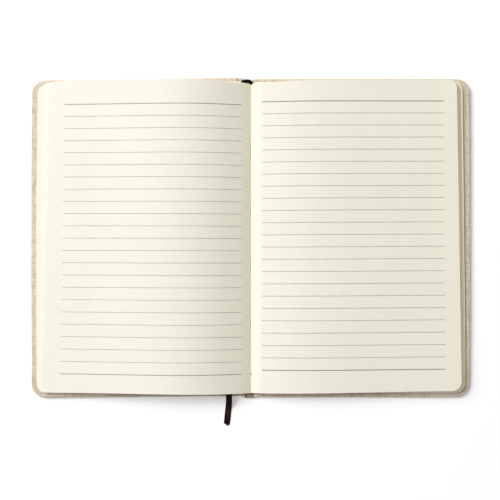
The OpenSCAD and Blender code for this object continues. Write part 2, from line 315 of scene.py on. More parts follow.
def linen():
    """Natural linen and cotton weave: warp along Y, weft along X, slubs and brown specks. Works on
    the attribute cloth_mm, so the weave stays on the cloth when it bends."""
    n = Nodes("linen_cloth")
    co = n.attr("cloth_mm")
    sep = n.node("ShaderNodeSeparateXYZ", {"Vector": co}).outputs
    wander_x = n.noise(n.stretch(co, 0.25, 0.035, 0.1), 1.0, 2)
    wander_y = n.noise(n.stretch(co, 0.035, 0.25, 0.1), 1.0, 2)
    x = n.math("ADD", sep[0], n.math("MULTIPLY", wander_x, YARN_WANDER))
    y = n.math("ADD", sep[1], n.math("MULTIPLY", wander_y, YARN_WANDER))
    ax = n.math("MULTIPLY", x, math.pi / WEAVE_PITCH)
    ay = n.math("MULTIPLY", y, math.pi / WEAVE_PITCH)
    sx, sy = n.math("SINE", ax), n.math("SINE", ay)
    warp = n.math("POWER", n.math("ABSOLUTE", sx), 0.6)
    weft = n.math("POWER", n.math("ABSOLUTE", sy), 0.6)
    over = n.math("ADD", n.math("MULTIPLY", n.math("MULTIPLY", sx, sy), 1.6), 0.5, clamp=True)
    up = n.math("MULTIPLY", over, warp)
    down = n.math("MULTIPLY", n.math("SUBTRACT", 1.0, over), weft)
    height = n.math("ADD", up, down)
    slub_x = n.noise(n.stretch(co, 1.5, 0.10, 0.1), 1.0, 3)
    slub_y = n.noise(n.stretch(co, 0.10, 1.5, 0.1), 1.0, 3)
    yarn = n.math("ADD", n.math("MULTIPLY", over, slub_x),
                  n.math("MULTIPLY", n.math("SUBTRACT", 1.0, over), slub_y))
    base = n.ramp(yarn, [(0.32, (0.50, 0.40, 0.27)), (0.44, (0.72, 0.62, 0.48)),
                         (0.56, (0.86, 0.775, 0.65)), (0.70, (0.92, 0.855, 0.76))])
    shade = n.ramp(height, [(0.0, 0.60), (0.35, 0.88), (0.8, 1.0)])
    col = n.mix(1.0, base, shade, "MULTIPLY")
    speck = n.noise(n.stretch(co, 1.1, 0.7, 0.5), 1.0, 4, 0.62)
    fleck = n.ramp(speck, [(0.59, 0.0), (0.67, 1.0)])
    col = n.mix(n.math("MULTIPLY", fleck, 0.6), col, (0.36, 0.23, 0.11))
    patch = n.noise(n.stretch(co, 0.42, 0.24, 0.3), 1.0, 3, 0.6)
    col = n.mix(0.34, col, n.ramp(patch, [(0.36, (0.62, 0.46, 0.27)), (0.5, (0.84, 0.74, 0.62)),
                                          (0.64, (0.94, 0.86, 0.80))]))
    # Painted shade on the turned-in cloth at the ends of the spine
    col = n.mix(n.attr("painted_end_shade", "Fac"), col, (0.16, 0.125, 0.085))
    n.colour(n.mix(1.0, col, (0.955, 0.94, 0.925), "MULTIPLY"))
    n.surface(rough=0.92, spec=0.15, sheen=0.2, sheen_rough=0.5)
    fuzz = n.noise(n.stretch(co, 6.0, 6.0, 6.0), 1.0, 2)
    n.bump(n.math("ADD", height, n.math("MULTIPLY", fuzz, 0.3)), 0.75, 0.00016)
    return n.mat


def paper(name, colour, deep=None):
    """Uncoated paper with faint fibres; deep, if given, is the colour of painted shade it takes down
    in the gutter, and the paper then also takes a painted shade on fanned edges.
    """
    n = Nodes(name)
    co = n.object_co()
    fibre = n.noise(n.stretch(co, 900.0, 260.0, 900.0), 1.0, 4, 0.6)
    cloud = n.noise(n.stretch(co, 22.0, 22.0, 22.0), 1.0, 3)
    light = tuple(min(1.0, c * 1.012) for c in colour)
    dark = tuple(c * 0.975 for c in colour)
    col = n.ramp(fibre, [(0.35, dark), (0.65, light)])
    col = n.mix(0.06, col, n.ramp(cloud, [(0.35, (0.80, 0.74, 0.60)), (0.65, (0.98, 0.97, 0.94))]))
    if deep:
        # Painted shade: the deep colour down in the gutter and on the right page's outer part
        col = n.mix(n.attr("gutter", "Fac"), col, deep)
        # Painted shade: browner on the fanned edges of the lower right sheets
        col = n.mix(n.attr("fan", "Fac"), col, (0.92, 0.83, 0.62))
    n.colour(col)
    n.surface(rough=0.78, spec=0.18)
    n.bump(fibre, 0.12, 0.00008)
    return n.mat


def ink():
    """Brownish grey printing ink, a little broken on the fibres."""
    n = Nodes("ruling_ink")
    co = n.object_co()
    broken = n.noise(n.stretch(co, 1400.0, 1400.0, 1400.0), 1.0, 3)
    n.colour(n.ramp(broken, [(0.3, (0.20, 0.185, 0.15)), (0.7, (0.36, 0.335, 0.28))]))
    n.surface(rough=0.8, spec=0.15)
    return n.mat


def satin():
    """Woven ribbon: fine ribs along its run and across, near black, with a painted maroon highlight along
    its middle where it lies free.
    """
    n = Nodes("ribbon_satin")
    co = n.attr("ribbon_mm")
    sep = n.node("ShaderNodeSeparateXYZ", {"Vector": co}).outputs
    rib = n.math("SINE", n.math("MULTIPLY", sep[0], 2 * math.pi / RIB_PITCH))
    pick = n.math("SINE", n.math("MULTIPLY", sep[1], 2 * math.pi / PICK_PITCH))
    cell = n.math("ADD", n.math("MULTIPLY", rib, 0.6), n.math("MULTIPLY", pick, 0.4))
    streak = n.noise(n.stretch(co, 2.2, 0.12, 1.0), 1.0, 3)
    middle = n.math("SUBTRACT", 1.0, n.math("ABSOLUTE", n.math("MULTIPLY", sep[0], 0.56)), clamp=True)
    # Painted highlight: maroon along the middle of the band, where the attribute sheen allows
    glow = n.math("MULTIPLY", n.math("POWER", middle, 1.3), n.math("ADD", streak, 0.25), clamp=True)
    glow = n.math("MULTIPLY", glow, n.attr("sheen", "Fac"))
    col = n.ramp(glow, [(0.0, (0.0015, 0.0006, 0.0007)), (0.4, (0.012, 0.002, 0.002)),
                        (0.85, (0.15, 0.022, 0.02))])
    col = n.mix(1.0, col, n.ramp(n.math("ADD", n.math("MULTIPLY", cell, 0.3), 0.5),
                                 [(0.2, 0.6), (0.8, 1.0)]), "MULTIPLY")
    n.colour(col)
    n.surface(rough=0.55, spec=0.06, aniso=0.4, sheen=0.0)
    n.bump(cell, 0.5, 0.00005)
    return n.mat


def waxed_thread():
    """Twisted cotton thread in a dark olive cream, lighter and darker along its twist: painted shade of
    the gutter it lies in.
    """
    n = Nodes("waxed_thread")
    co = n.object_co()
    sep = n.node("ShaderNodeSeparateXYZ", {"Vector": co}).outputs
    run = n.math("ADD", n.math("ADD", sep[1], sep[2]), n.math("MULTIPLY", sep[0], 1.4))
    twist = n.math("SINE", n.math("MULTIPLY", run, 2 * math.pi / TWIST_PITCH))
    fac = n.math("ADD", n.math("MULTIPLY", twist, 0.5), 0.5)
    # painted shade: the olive cream of the pages in the gutter's shade
    n.colour(n.ramp(fac, [(0.0, (0.60, 0.55, 0.38)), (1.0, (0.86, 0.82, 0.64))]))
    n.surface(rough=0.6, spec=0.3)
    n.bump(fac, 0.6, 0.00008)
    return n.mat


def greyboard():
    """Grey board with a grain that is finer through its thickness."""
    n = Nodes("greyboard")
    co = n.object_co()
    grain = n.noise(n.stretch(co, 500.0, 500.0, 2200.0), 1.0, 5, 0.65)
    n.colour(n.ramp(grain, [(0.3, (0.22, 0.19, 0.155)), (0.7, (0.40, 0.36, 0.31))]))
    n.surface(rough=0.9, spec=0.15)
    n.bump(grain, 0.3, 0.0001)
    return n.mat


def gauze():
    """Open gauze set in glue."""
    n = Nodes("gauze_lining")
    co = n.object_co()
    sep = n.node("ShaderNodeSeparateXYZ", {"Vector": co}).outputs
    a = n.math("ABSOLUTE", n.math("SINE", n.math("MULTIPLY", sep[0], math.pi / GAUZE_PITCH)))
    b = n.math("ABSOLUTE", n.math("SINE", n.math("MULTIPLY", sep[1], math.pi / GAUZE_PITCH)))
    mesh = n.math("MAXIMUM", a, b)
    n.colour(n.ramp(mesh, [(0.72, (0.60, 0.57, 0.47)), (0.92, (0.84, 0.82, 0.75))]))
    n.surface(rough=0.85, spec=0.15)
    n.bump(mesh, 0.4, 0.0001)
    return n.mat


CLOTH = linen()
PAGE = paper("page_paper", (0.905, 0.870, 0.775), deep=(0.87, 0.83, 0.62))
# Cut edges of the sheets in a browner colour: painted shade of the gaps between sheets
PAGE_EDGE = paper("page_cut_edge", (0.80, 0.68, 0.46))
# The pasted sheet in a dark brown: painted shade, for only its margin shows, in the shadow of the sheets
ENDPAPER = paper("endpaper", (0.68, 0.59, 0.43))
INK = ink()
RIBBON = satin()
THREAD = waxed_thread()
BOARD = greyboard()
GAUZE = gauze()


def dress(node, mat):
    """Gives a CAD node that keeps its shape its material."""
    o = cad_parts[node]
    o.data.materials.clear()
    o.data.materials.append(mat)


dress("spine_strip", BOARD)
dress("spine_lining", GAUZE)


# Cloth of the case
def outline_inset(e, r):
    """How far a line with a round end of radius r draws in at distance e from that end."""
    return r - math.sqrt(max(r * r - (r - e) ** 2, 0.0)) if e < r else 0.0


# Stations of the cloth: distances in from an edge, then along X and along Y, in mm
EDGE_STEPS = [0, 0.02, 0.06, 0.13, 0.24, 0.4, 0.6, 0.85, 1.15, 1.5, 2.0, 2.6, 3.3, 4.2, 5.5, 7.2, 9.6]
CLOTH_X = [0, 0.3, 0.45, 0.6, 0.75, 1.2, 1.8, 2.3, 2.75, 2.95, 3.15, 3.3, 3.6, 4.1, 4.65, 4.78, 4.92,
           5.05, 5.5, 6.0, 6.7, 7.3, 7.9, 8.4, 8.7, 8.85, 9.0, 9.12, 9.25, 9.6, 10.2, 11, 13, 17, 24, 34,
           48, 64, 80, 96, 110, 120, 126, 129.6, 130.0, 132.5] + [COVER_END - e for e in EDGE_STEPS]
CLOTH_Y = EDGE_STEPS + [12, 14.9, 15.4, 20, 30, 45, 65, 85]

# How the case lies along Y: the cover's shift at the spine and its growth along X, what comes on
# top at the head, and the shift of the spine, which sits lower
COVER_LIE = {FRONT: (0.87, -0.0091), BACK: (0.05, 0.0)}
HEAD_UP = {FRONT: (0.55, -0.0035), BACK: (0.5, 0.0)}
SPINE_LIE = -0.75
# Where the spine's lie runs over into the cover's, along X
STEP_AT_HEAD = {FRONT: (4.65, 5.05), BACK: (0.3, 0.75)}
STEP_AT_TAIL = {FRONT: (2.6, 7.2), BACK: (2.0, 5.2)}

# Joint groove beside the spine strip: from and to along X, the slope at each side and the depth
JOINT_X = (3.15, 8.85)
GROOVE_X, GROOVE_SLOPE, GROOVE_DEEP = (3.2, 9.0), 1.6, 0.28
# Top of the turned-in cloth over the spine strip, and in the joint at the head and tail
SPINE_TURN_Z, JOINT_TURN_Z = 1.6, 2.25
# Past the turned-in edge, and away from the joint, the cover's inner side is lower by a step
TURN_EDGE, TURN_STEP, SHOULDER_X = 15.2, 0.15, 9.6
# Radius of the wrapped edge: a share of the cover's height there, and its limit
WRAP_SHARE, WRAP_R = 0.46, 0.95
# Pleats in the rounded corners: how fast they follow each other by the angle, and their depth
PLEATS, PLEAT_DEEP = 22, 0.16
# How far the middle of the fore-edge stands out, and where the outside's part of the weave starts
SWELL, OUTSIDE_WEAVE = 0.32, 400
# Painted shade lines on the turned-in cloth at the tail and at the head, (place along X, width)
TAIL_CREASE_SHADES = ((-2.9, 0.5), (1.1, 0.45))
HEAD_CREASE_SHADE = (3.6, 0.4)


def cover_shift(side, x, tail):
    """How far the case lies from square along Y, as the photo shows it: the front cover is a little
    turned, the spine sits lower, with a sharp step at the head and a soft bulge at the tail."""
    base, grow = COVER_LIE[side]
    cover = base + grow * x
    if tail:
        near, far = STEP_AT_TAIL[side]
    else:
        near, far = STEP_AT_HEAD[side]
        cover += HEAD_UP[side][0] + HEAD_UP[side][1] * x
    return float(SPINE_LIE + (cover - SPINE_LIE) * smooth((x - near) / (far - near)))


def bell(x, middle, width):
    """1 at the middle and falling evenly to both sides."""
    return math.exp(-((x - middle) / width) ** 2)


def turn_in_shade(x, from_end):
    """Painted shade on the turned-in cloth at the ends of the spine: over all the tail's turn-in, more in
    its middle and along two lines, and along one line at the head; from_end is the distance to the
    head (positive) or to the tail (negative)."""
    d = abs(from_end)
    if from_end < 0:
        zone = bell(x, -0.8, 3.4) * float(smooth((d - 0.05) / 0.5))
        crease = sum(bell(x, *c) for c in TAIL_CREASE_SHADES)
        return min(0.95, 0.14 + 0.5 * zone + 0.5 * crease * float(smooth((d + 0.1) / 0.3)))
    return 0.35 * bell(x, *HEAD_CREASE_SHADE) * float(smooth((d - 0.1) / 0.4))


def rim(x, y_abs, sign):
    """Distance of a point of the cover to its outline, the way out to it, and its angle where it is
    in the rounded corner."""
    h = COVER_H / 2
    e, to_end = COVER_END - x, h - y_abs
    if e < COVER_R and y_abs > h - COVER_R:
        cx, cy = x - (COVER_END - COVER_R), y_abs - (h - COVER_R)
        r = math.hypot(cx, cy)
        out = (cx / max(r, 1e-6), sign * cy / max(r, 1e-6))
        return max(COVER_R - r, 0.0), out, math.atan2(cy, cx)
    if to_end < e:
        return max(to_end, 0.0), (0, sign), None
    return max(e, 0.0), (1, 0), None


def skin_heights(x, to_end, dist):
    """Heights of the cloth's inner and outer side away from the edge, and how much both draw in
    where the cloth wraps round it; to_end is the distance to the head or the tail and dist the
    distance to the nearest edge."""
    zb = float(GROOVE_DEEP * smooth((x - GROOVE_X[0]) / GROOVE_SLOPE)
               * smooth((GROOVE_X[1] - x) / GROOVE_SLOPE))
    at_end = to_end < TURN_IN
    low = zb + (2 * CLOTH_T if at_end else CLOTH_T)
    if x < JOINT_X[0]:
        zt = SPINE_TURN_Z if at_end else CLOTH_T
    elif x < JOINT_X[1]:
        w = float(smooth((3.5 - x) / 0.35))
        zt = low + (SPINE_TURN_Z - low) * w * at_end
        zt += max(0.0, JOINT_TURN_Z - zt) * float(smooth((4.5 - to_end) / 3.0)) * (1 - w)
    else:
        full = COVER_T if dist < TURN_EDGE or x < SHOULDER_X else COVER_T - TURN_STEP
        zt = low + (full - low) * float(smooth((x - 8.8) / 0.42))
    drop = outline_inset(dist, min(WRAP_R, WRAP_SHARE * (zt - zb)))
    return zt, zb, drop


def cover_cloth(side):
    """Cloth of one cover with its half of the spine: outer skin, wrapped edges and turn-ins."""
    xs = np.array(sorted(set(CLOTH_X)))
    rows = np.array(CLOTH_Y)
    half = len(rows)
    shape = (len(xs), 2 * half)
    top, bottom, rest_top, rest_bottom = (np.zeros((*shape, 3)) for _ in range(4))
    painted_end_shade = np.zeros((2, *shape))
    h = COVER_H / 2
    phase = np.random.default_rng(11 + side).uniform(0, 6.28, 3)
    for a, b in np.ndindex(shape):
        x = xs[a]
        sign, d = (-1, rows[b]) if b < half else (1, rows[2 * half - 1 - b])
        span = h - outline_inset(COVER_END - x, COVER_R)
        y_abs = span - d * span / h
        y = sign * y_abs
        dist, out, corner = rim(x, y_abs, sign)
        z1, z0, drop = skin_heights(x, h - y_abs, dist)
        z1, z0 = z1 - drop, z0 + drop
        if corner is not None:
            pleat = 0.5 + 0.5 * math.cos(corner * PLEATS + phase[0])
            pleat *= float(smooth((dist - 0.3) / 1.0) * smooth((4.6 - dist) / 2.0))
            z1 -= PLEAT_DEEP * pleat
        uneven = 0.05 * math.sin(x * 0.21 + y * 0.33 + phase[1]) + 0.04 * math.sin(y * 0.9 + phase[2])
        wob = uneven * (dist < 3) * float(smooth((x - 1) / 2))
        swell = SWELL * float(smooth((96 - y_abs) / 60) * smooth((x - 130) / 14))
        px = side * (x + out[0] * wob + swell)
        py = y + out[1] * wob + cover_shift(side, x, sign < 0)
        top[a, b] = (px, py, z1)
        bottom[a, b] = (px, py, z0)
        # the weave runs on round the edge, and the outside takes another part of it
        flat = (side * (x + out[0] * drop * 1.2), y + out[1] * drop * 1.2, 0)
        rest_top[a, b] = flat
        rest_bottom[a, b] = (flat[0] + OUTSIDE_WEAVE, flat[1], 0)
        # painted shade at the ends of the spine, on the cloth's upper side only
        painted_end_shade[0, a, b] = turn_in_shade(side * x, sign * (h - y_abs) - 1e-9) * float(smooth((20 - h + y_abs) / 5))
    b = Build(side == FRONT)
    b.grid(top, bottom, np.zeros(shape), close=(False, True, True, True))
    rest = np.concatenate([rest_top.reshape(-1, 3), rest_bottom.reshape(-1, 3)])
    o = make(f"{SIDE[side]}_cover_cloth", b.v, b.f, [CLOTH],
             {"cloth_mm": rest, "painted_end_shade": painted_end_shade.ravel()}, angle=60)
    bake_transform(o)
    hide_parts(f"{SIDE[side]}_cloth")
    if side == BACK:
        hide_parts("spine_cloth")


def panel(name, side, x0, x1, half, radius, z0, z1, mat, turned):
    """Flat panel with two rounded corners at its fore-edge, lying square or turned with its cover."""
    columns, rows, corner = 12, 9, 10
    turn = np.linspace(0.12, 1, corner) * math.pi / 2
    xs = np.concatenate([np.linspace(x0, x1 - radius, columns), x1 - radius * (1 - np.sin(turn))])
    inset = np.array([outline_inset(x1 - x, radius) for x in xs])
    y = (half - inset)[:, None] * np.linspace(-1, 1, rows)[None, :]
    x = np.repeat(xs[:, None], rows, 1)
    if turned:
        y = y + np.array([[cover_shift(side, q, True)] for q in xs]) + 0.5 * HEAD_UP[side][0]
    else:
        y = y + PAGE_Y
    top = np.stack([side * x, y, np.full_like(x, z1)], -1)
    bottom = np.stack([side * x, y, np.full_like(x, z0)], -1)
    b = Build(side == FRONT)
    b.grid(top, bottom, np.zeros_like(x))
    o = make(name, b.v, b.f, [mat])
    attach(o, BODY[side])
    return o


for side in (FRONT, BACK):
    cover_cloth(side)
    core = panel(f"{SIDE[side]}_board_core", side, **BOARD_CORE, mat=BOARD, turned=True)
    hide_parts(f"{SIDE[side]}_board")
    pasted = panel(f"{SIDE[side]}_pasted_sheet", side, **PASTED, radius=PASTED_R[side], mat=ENDPAPER,
                   turned=False)
    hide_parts(f"{SIDE[side]}_endpaper")


# Sheets
def arch(x, end):
    """Share of the crown's height that a loose sheet has at distance x from the gutter."""
    u = (np.asarray(x, float) - START) / (end - START)
    return np.where((u <= 0) | (u >= 1), 0.0, np.sin(math.pi * u * (1 + SKEW * (1 - u))))


def gutter_drop(x, crown, end, inner_x, inner_z, seam_z):
    """Height at x of a sheet that runs down from its arch, with the arch's slope at the seam, to its
    inner edge."""
    d = START - np.asarray(x, float)
    d0 = START - inner_x
    m = crown * math.pi * (1 + SKEW) / (end - START)
    c = (seam_z - inner_z - m * d0) / (d0 * d0)
    return seam_z - m * d - c * d * d


def seam_height(i):
    """Height of the top of sheet i at the place where the arches start."""
    return BLOCK_Z + (i + 1) * SHEET_T


def crown_of(side, i):
    """Height of the arch of sheet i; the lower ones lie flat."""
    return CROWN[side] * max(0.0, (i + 1 - (SHEETS - OPEN)) / OPEN)


def head_dip(i, x):
    """The heads of the upper sheets draw back where they go down into the gutter."""
    s = np.clip((i - DIP_SHEET) / DIP_SHEETS, 0, 1)
    x = np.asarray(x, float)
    return s * HEAD_DIP * (1 - smooth((x + 1.5) / DIP_REACH)) ** 1.1


def tail_shift(side, x):
    """How far the tail edges of the sheets stand off a straight cut, positive towards the head."""
    at, by = TAIL[side]
    return np.interp(x, at, by)


def outer_x(side, i, y):
    """Fore-edge of sheet i at height y, between those of the top and the lowest sheet: the sheets
    are fanned, and each a little out of square."""
    y = np.asarray(y, float)
    at, growth = TOP_EDGE[side]
    upper = at + growth * y
    if side == FRONT:
        lower = 141.6 - 0.9 * smooth((y - 10) / 85) - 0.3 * smooth((-y - 55) / 35)
        return lower + (upper - lower) * (i / (SHEETS - 1)) ** 1.15
    lower = np.minimum(140.6 - 0.0105 * y, 141.4)
    if i < FLUSH:
        return lower
    spread = FAN * (1 - (i - FLUSH) / (SHEETS - 1 - FLUSH))
    return np.minimum(upper + spread, lower - 0.02)


def droop(side, x):
    """Share of their height that the sheets lose towards the fore-edge, where they lie closer."""
    return DROOP[side] * np.clip((x - DROOP_FROM) / DROOP_SPAN, 0, 1.1) ** 2


def sheet_z(side, i, x):
    """Height of the top of sheet i at distance x from the gutter, for x past the seam."""
    z = seam_height(i) + crown_of(side, i) * arch(x, ARCH_END[side])
    lift = LIFT[side] * smooth((x - 114.0) / 26.0)
    return z - (seam_height(i) - BLOCK_Z) * droop(side, x) + lift


def ripple(side, x, y, i):
    """Slight unevenness of a loose sheet, none at the seam."""
    w = smooth((x - 14) / 40) * (0.35 + 0.65 * max(0, i - 27) / 12)
    waves = sum(high * np.sin(y * by_y + x * by_x + by_side * side + start)
                for high, by_y, by_x, by_side, start in WAVES)
    edge = smooth((np.abs(y) - 78) / 24) * 0.10 * np.sin(x * 0.055 + side)
    return w * (waves + edge)


def place(side, i, x, y):
    """Sheet point at nominal distance x and height y, moved as the sheet lies: (x, y) in mm."""
    out = float(outer_x(side, i, 0.0))
    w = np.clip((x - START) / (out - START), 0, None)
    s = (i / (SHEETS - 1)) ** 1.6
    tilt = TILT[side] * (0.25 + 0.75 * s) * (x - START) / SPAN
    short = SHORTER[side] * s * np.clip((x - START) / SPAN, 0, None)
    px = x + (outer_x(side, i, y) - out) * w
    py = CENTRE_Y[side] + y * (1 - short / PAGE_H) + tilt
    return px, py


def sheet_stations(side, i, count):
    """Distances from the gutter at which sheet i has points, closer together at its corners."""
    out = float(outer_x(side, i, 0.0))
    corner = WORN_CORNER[0]
    xs = [START + (out - corner - START) * k / count for k in range(count)]
    xs += [out - e for e in (corner, 10.3, 8.5, 7.0, 6.0, 5.0, 4.0, 3.1, 2.3, 1.6, 1.0, 0.55, 0.22,
                             0.05, 0.0)]
    return np.array(xs)


def end_lie(side, i, xs, v):
    """How far the points of sheet i move along Y towards its head and tail, v being -1 to 1."""
    at_head = smooth((v[None, :] - 0.3) / 0.7)
    at_tail = smooth((-v[None, :] - 0.3) / 0.7)
    return -head_dip(i, xs)[:, None] * at_head, tail_shift(side, xs)[:, None] * at_tail


def sheet(b, side, i, count, rows):
    """Adds sheet i past the seam to mesh b."""
    xs = sheet_stations(side, i, count)
    out = xs[-1]
    thick = PAPER_T if i < SHEETS - 1 else TOP_PAPER_T
    wide, deep = WORN_CORNER if side == FRONT else (PAGE_R, PAGE_R)
    head = np.array([outline_inset((out - x) * deep / wide, deep) for x in xs])
    tail = np.array([outline_inset(out - x, PAGE_R) for x in xs])
    v = np.linspace(-1, 1, rows)
    y = (PAGE_H / 2 - np.where(v[None, :] > 0, head[:, None], tail[:, None])) * v[None, :]
    for move in end_lie(side, i, xs, v):
        y = y + move
    x = np.repeat(xs[:, None], rows, 1)
    px, py = place(side, i, x, y)
    z = sheet_z(side, i, x)
    if i >= SHEETS - OPEN:
        z = z + ripple(side, x, y, i) * (i - (SHEETS - OPEN) + 1) / OPEN
    top = np.stack([side * px, py, z], -1)
    bottom = top.copy()
    bottom[..., 2] -= thick * (1 - droop(side, x))
    # tint is painted shade towards the gutter and, on the right page, towards the fore-edge
    tint = TINT[side] * smooth((34 - x) / 30)
    shade = np.zeros_like(x)
    if side == BACK:
        tint = tint + OUTER_TINT * smooth((x - 96) / 36)
        # painted shade on the fanned edges of the lower right sheets
        if i < SHEETS - 1:
            shade = smooth((x - (out - DARK_EDGE)) / 1.2)
    b.grid(top, bottom, np.clip(tint, 0, 1), close=(False, True, True, True), shade=shade)


def inner_end(i):
    """Inner edge of sheet i: the folds stand side by side over the spine."""
    s = i / (SHEETS - 1)
    x = GUTTER_GAP + 6.1 * (1 - s)
    z = FOLD_Z + 0.1 + (GUTTER_Z - FOLD_Z - 0.1) * s ** 2.0
    return x, z


def gutter_z(side, i, x):
    """Height of sheet i between its fold and the seam."""
    xi, zi = inner_end(i)
    return gutter_drop(x, crown_of(side, i), ARCH_END[side], xi, zi, seam_height(i))


def gutter_xs(i, count):
    """Distances from the gutter at which sheet i has points between its fold and the seam."""
    return np.linspace(inner_end(i)[0], START, count)


def gutter_sheet(b, side, i, count, rows):
    """Adds the part of sheet i between its fold and the seam."""
    xs = gutter_xs(i, count)
    v = np.linspace(-1, 1, rows)
    x = np.repeat(xs[:, None], rows, 1)
    y = np.repeat((PAGE_H / 2 * v)[None, :], len(xs), 0)
    for move in end_lie(side, i, xs, v):
        y = y + move
    z = gutter_z(side, i, x)
    if i == SHEETS - 1:
        x = x - SLIT_CLOSE * smooth((np.abs(v)[None, :] - 0.62) / 0.3) * smooth((4 - x) / 4)
    top = np.stack([side * x, CENTRE_Y[side] + y, z], -1)
    bottom = top.copy()
    bottom[..., 2] -= PAPER_T
    if i == SHEETS - 1:
        bottom[0, :, 2] = FOLD_Z
    # painted shade, deeper towards the fold
    reach = FOLD_REACH[side]
    tint = TINT[side] * smooth((34 - x) / 30) + FOLD_TINT * smooth((reach - x) / reach)
    b.grid(top, bottom, np.clip(tint, 0, 1), close=(True, False, True, True))


def paper_piece(name, b):
    """Object from the sheets that b has collected, with browner cut edges as painted shade of the gaps
    between sheets.
    """
    return make(name, b.v, b.f, [PAGE, PAGE_EDGE], {"gutter": b.tint, "fan": b.shade}, face_mats=b.kind)


def sheets_of(side):
    """All sheets of one half: pressed flat, loose in groups of three, the top one, and their inner
    parts down to the folds."""
    name = SIDE[side]
    flip = side == FRONT
    body, hinge = BODY[side], HINGE[side]
    first = SHEETS - OPEN
    pressed = Build(flip)
    for i in range(first):
        sheet(pressed, side, i, *PRESSED_GRID)
    o = paper_piece(f"{name}_pressed_sheets", pressed)
    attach(o, body)
    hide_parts(f"{name}_page_block")
    for k in range(4):
        lo = first + 3 * k
        hi = min(lo + 3, SHEETS - 1)
        b = Build(flip)
        for i in range(lo, hi):
            sheet(b, side, i, *LOOSE_GRID)
        o = paper_piece(f"{name}_open_sheets_{k + 1}", b)
        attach(o, body)
        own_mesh(o)
    b = Build(flip)
    sheet(b, side, SHEETS - 1, *TOP_GRID)
    o = paper_piece(f"{name}_top_sheet", b)
    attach(o, body)
    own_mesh(o)
    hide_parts(f"{name}_open_leaves")
    b = Build(flip)
    for i in range(SHEETS - 1):
        gutter_sheet(b, side, i, *FOLD_GRID)
    gutter_sheet(b, side, SHEETS - 1, *TOP_FOLD_GRID)
    o = paper_piece(f"{name}_gutter_sheets", b)
    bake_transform(o)


for side in (FRONT, BACK):
    sheets_of(side)


# Ruling
LINES = 23
# How far the ink lies above the arched page and above the part that goes down to the fold
INK_LIFT, FOLD_INK_LIFT = 0.06, 0.03
LINE_W = {FRONT: 0.227, BACK: 0.255}
HEAVY_W = {FRONT: 0.42, BACK: 0.53}
# Where the lines start and end, how much shorter they get towards the head, the middle of the
# ruling, the rise of a line over RULED_SPAN, the pitch and its growth from line to line
RULED_SPAN = 117.0
RULED = {
    FRONT: dict(x0=5.8, x1=123.6, lean=0.0164, y=-0.73, tilt=0.3, pitch=8.04, grow=0.00133),
    BACK: dict(x0=7.3, x1=127.3, lean=0.0071, y=1.56, tilt=0.62, pitch=8.0, grow=0.0015),
}


def line_y(k, pitch, grow):
    """Height of line k above the middle of the ruling; the pitch grows a little towards the tail."""
    u = k - (LINES - 1) / 2
    return -pitch * (u + 0.5 * grow * (u * u - ((LINES - 1) / 2) ** 2))


def strip(b, side, xs, ys, zs, width):
    """Flat band of ink along the points, lying on the page."""
    base = len(b.v)
    for x, y, z in zip(xs, ys, zs):
        b.v.append((side * x, y - width / 2, z))
        b.v.append((side * x, y + width / 2, z))
    for k in range(len(xs) - 1):
        p = base + 2 * k
        b.add_face(p, p + 2, p + 3, p + 1)


def ruling(side):
    """The lines of one page, on the arched part and on the part that goes down to the fold."""
    r = RULED[side]
    i = SHEETS - 1
    outer, inner = Build(side == FRONT), Build(side == FRONT)
    stations = sheet_stations(side, i, TOP_GRID[0])
    gx = gutter_xs(i, TOP_FOLD_GRID[0])
    for k in range(LINES):
        y0 = r["y"] + line_y(k, r["pitch"], r["grow"])
        width = (HEAVY_W if k in (0, LINES - 1) else LINE_W)[side]
        end = r["x1"] - r["lean"] * y0
        px, _ = place(side, i, stations, np.full(len(stations), y0))
        nominal = np.append(stations[px < end], np.interp(end, px, stations))
        xs = np.interp(nominal, stations, px)
        ys = y0 + r["tilt"] * (xs - START) / RULED_SPAN
        # the row of the sheet that lies at this y, for the ripple
        row = ys - CENTRE_Y[side] - TILT[side] * (xs - START) / SPAN
        zs = sheet_z(side, i, nominal) + ripple(side, nominal, row, i) + INK_LIFT
        strip(outer, side, xs, ys, zs, width)
        g = np.concatenate([[r["x0"]], gx[gx > r["x0"] + 0.05]])
        gz = np.interp(g, gx, gutter_z(side, i, gx)) + FOLD_INK_LIFT
        strip(inner, side, g, np.full(len(g), y0), gz, width)
    o = make(f"{SIDE[side]}_ruling", outer.v, outer.f, [INK])
    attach(o, BODY[side])
    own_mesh(o)
    o = make(f"{SIDE[side]}_ruling_inner", inner.v, inner.f, [INK])
    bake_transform(o)


for side in (FRONT, BACK):
    ruling(side)


# Sewing

# Stitches along the middle fold: number, start of the first, pitch, length and radius in mm
STITCHES, STITCH_Y, STITCH_PITCH, STITCH = 5, -92, 38, 32
STITCH_R, KNOT_R = 0.19, 0.27
# Height at which a stitch comes out of the folds on the spine's side
SPINE_Z = 1.7


def tube(path, radius, sides=8):
    """Points and faces of a closed round tube along the path."""
    pts = np.asarray(path, float)
    v, f = [], []
    for k, p in enumerate(pts):
        t = pts[min(k + 1, len(pts) - 1)] - pts[max(k - 1, 0)]
        t /= np.linalg.norm(t)
        s = np.cross(t, (1.0, 0, 0))
        s /= np.linalg.norm(s)
        u = np.cross(s, t)
        for j in range(sides):
            a = 2 * math.pi * j / sides
            v.append(p + radius * (math.cos(a) * s + math.sin(a) * u))
    for k in range(len(pts) - 1):
        for j in range(sides):
            a, b = k * sides + j, k * sides + (j + 1) % sides
            f.append((a, b, b + sides, a + sides))
    f.append(tuple(reversed(range(sides))))
    f.append(tuple(range((len(pts) - 1) * sides, len(pts) * sides)))
    return v, f


